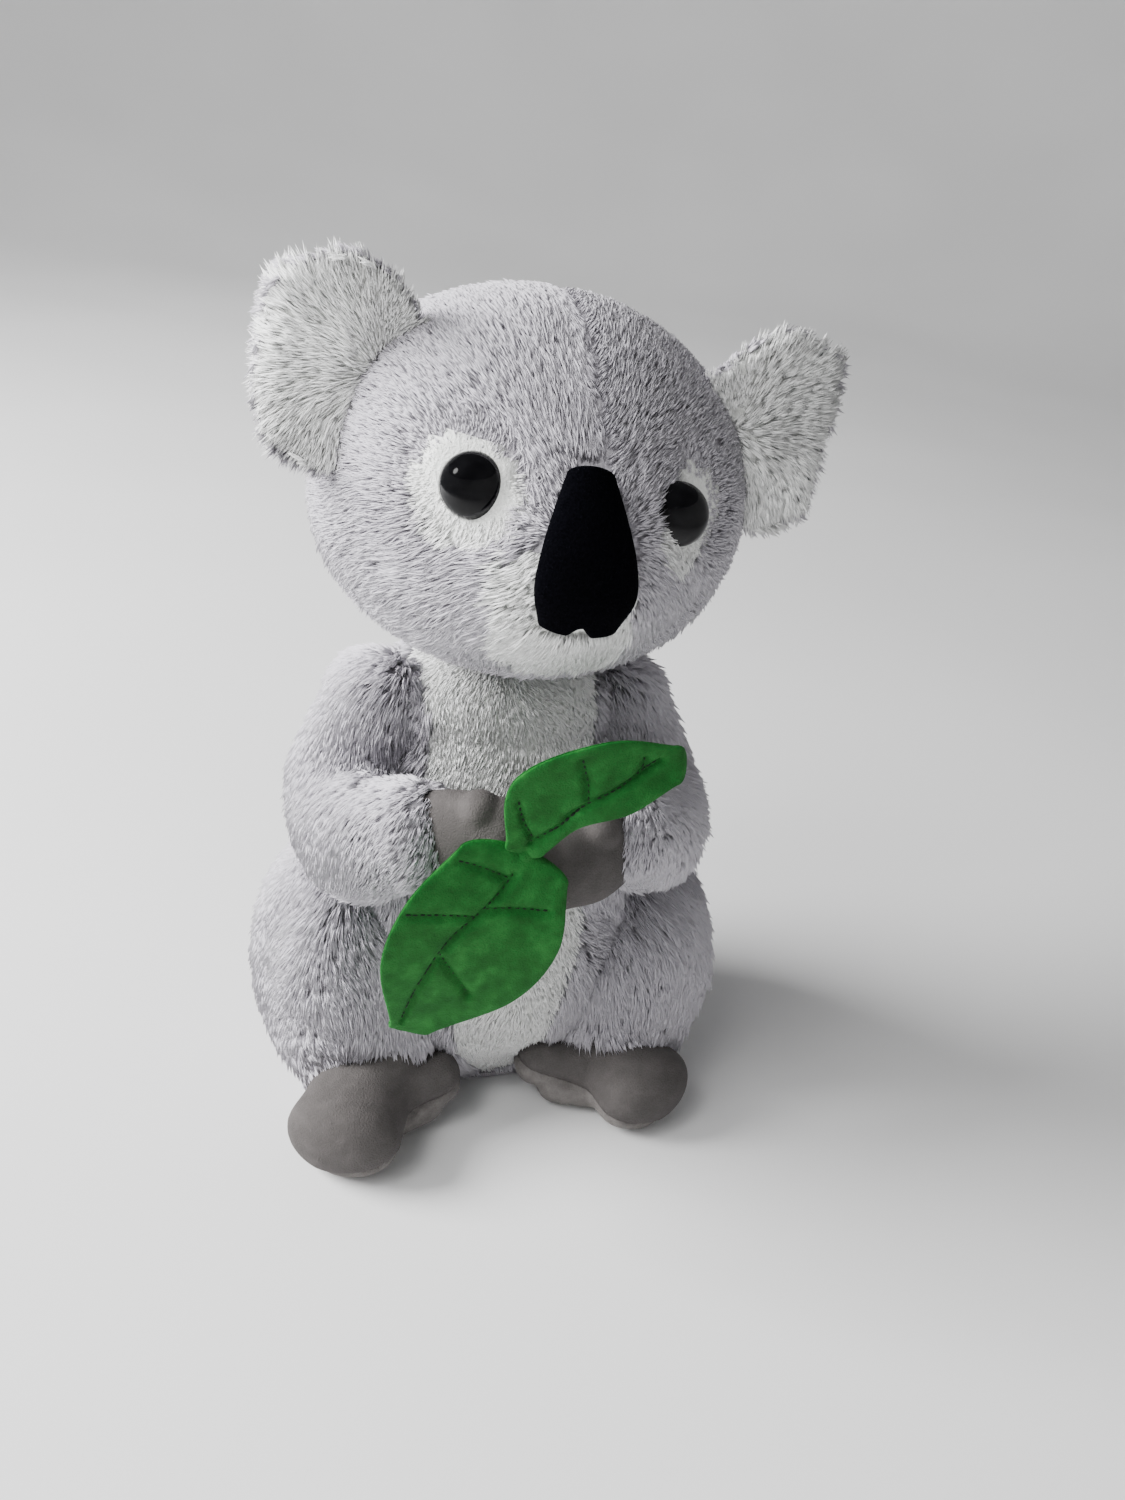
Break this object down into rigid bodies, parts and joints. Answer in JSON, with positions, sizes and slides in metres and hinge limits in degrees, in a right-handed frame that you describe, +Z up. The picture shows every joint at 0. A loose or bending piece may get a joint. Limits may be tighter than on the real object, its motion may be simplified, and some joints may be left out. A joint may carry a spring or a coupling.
{
  "type": "plush koala",
  "caption": "Seated stuffed plush koala with a large furry head, cupped ears, glossy eyes and a black nose, whose smooth paws hold a sprig of green leaves.",
  "frame": {"origin": "centre of the flat underside of the seat panel, on the surface that the toy sits on", "axes": "+Z up, the toy faces -Y, +X towards the toy's own left"},
  "size_m": [0.1716, 0.1532, 0.2857],
  "materials": {
    "grey_plush": "long soft pile",
    "white_plush": "long soft pile",
    "grey_minky": "short smooth nap",
    "sole_minky": "short smooth nap",
    "green_minky": "short smooth nap",
    "black_velvet": "matt velvet",
    "eye_plastic": "polished",
    "washer_plastic": "moulded",
    "base_cloth": "plain knit",
    "pouch_cloth": "plain weave",
    "seam_thread": "twisted thread"
  },
  "bodies": {
    "torso": {"torso": "grey_plush", "belly_panel": "white_plush", "seat_panel": "base_cloth", "pellet_pouch": "pouch_cloth"},
    "neck": {"neck_seam": "seam_thread"},
    "head": {"head": "grey_plush", "chin_panel": "white_plush", "nose": "black_velvet", "eye_patch_right": "white_plush", "eye_patch_left": "white_plush", "eye_right": "eye_plastic", "eye_left": "eye_plastic", "eye_washer_right": "washer_plastic", "eye_washer_left": "washer_plastic"},
    "ear_right": {"ear_right_front": "white_plush", "ear_right_back": "grey_plush"},
    "ear_left": {"ear_left_front": "white_plush", "ear_left_back": "grey_plush"},
    "arms": {"arm_right": "grey_plush", "arm_left": "grey_plush", "hand_right": "grey_minky", "hand_left": "grey_minky", "sprig_tack": "green_minky"},
    "leaf_large": {"leaf_large_front": "green_minky", "leaf_large_back": "green_minky"},
    "leaf_small": {"leaf_small_front": "green_minky", "leaf_small_back": "green_minky"},
    "leg_right": {"leg_right": "grey_plush", "foot_right": "grey_minky", "sole_right": "sole_minky"},
    "leg_left": {"leg_left": "grey_plush", "foot_left": "grey_minky", "sole_left": "sole_minky"}
  },
  "joints": [
    {"name": "head_nod", "type": "hinge", "parent": "torso", "child": "neck", "pos_m": [-0.005, -0.014, 0.16], "axis": [-1, 0, 0], "range_deg": [0, 8], "stiffness_Nm_per_rad": 0.15},
    {"name": "head_turn", "type": "hinge", "parent": "neck", "child": "head", "pos_m": [-0.005, -0.014, 0.16], "axis": [0, 0, 1], "range_deg": [-20, 20], "stiffness_Nm_per_rad": 0.06},
    {"name": "ear_right_flop", "type": "hinge", "parent": "head", "child": "ear_right", "pos_m": [-0.05872, -0.028, 0.25443], "axis": [0.0785, 0, 0.9969], "range_deg": [-10, 10], "stiffness_Nm_per_rad": 0.004},
    {"name": "ear_left_flop", "type": "hinge", "parent": "head", "child": "ear_left", "pos_m": [0.05612, -0.028, 0.24539], "axis": [0.0785, 0, 0.9969], "range_deg": [-10, 10], "stiffness_Nm_per_rad": 0.004},
    {"name": "arms_lift", "type": "hinge", "parent": "torso", "child": "arms", "pos_m": [-0.0043, -0.00896, 0.14448], "axis": [-1, 0, 0], "range_deg": [0, 12], "stiffness_Nm_per_rad": 0.06},
    {"name": "leaf_large_flap", "type": "hinge", "parent": "arms", "child": "leaf_large", "pos_m": [-0.0112, -0.08494, 0.13032], "axis": [-1, 0, 0], "range_deg": [0, 15], "stiffness_Nm_per_rad": 0.003},
    {"name": "leaf_small_flap", "type": "hinge", "parent": "arms", "child": "leaf_small", "pos_m": [-0.0112, -0.08494, 0.13032], "axis": [1, 0, 0], "range_deg": [-5, 15], "stiffness_Nm_per_rad": 0.003},
    {"name": "leg_right_splay", "type": "hinge", "parent": "torso", "child": "leg_right", "pos_m": [-0.0448, 0.03472, 0], "axis": [0, 0, -1], "range_deg": [0, 12], "stiffness_Nm_per_rad": 0.06},
    {"name": "leg_left_splay", "type": "hinge", "parent": "torso", "child": "leg_left", "pos_m": [0.0448, 0.03472, 0], "axis": [0, 0, 1], "range_deg": [0, 12], "stiffness_Nm_per_rad": 0.06}
  ]
}
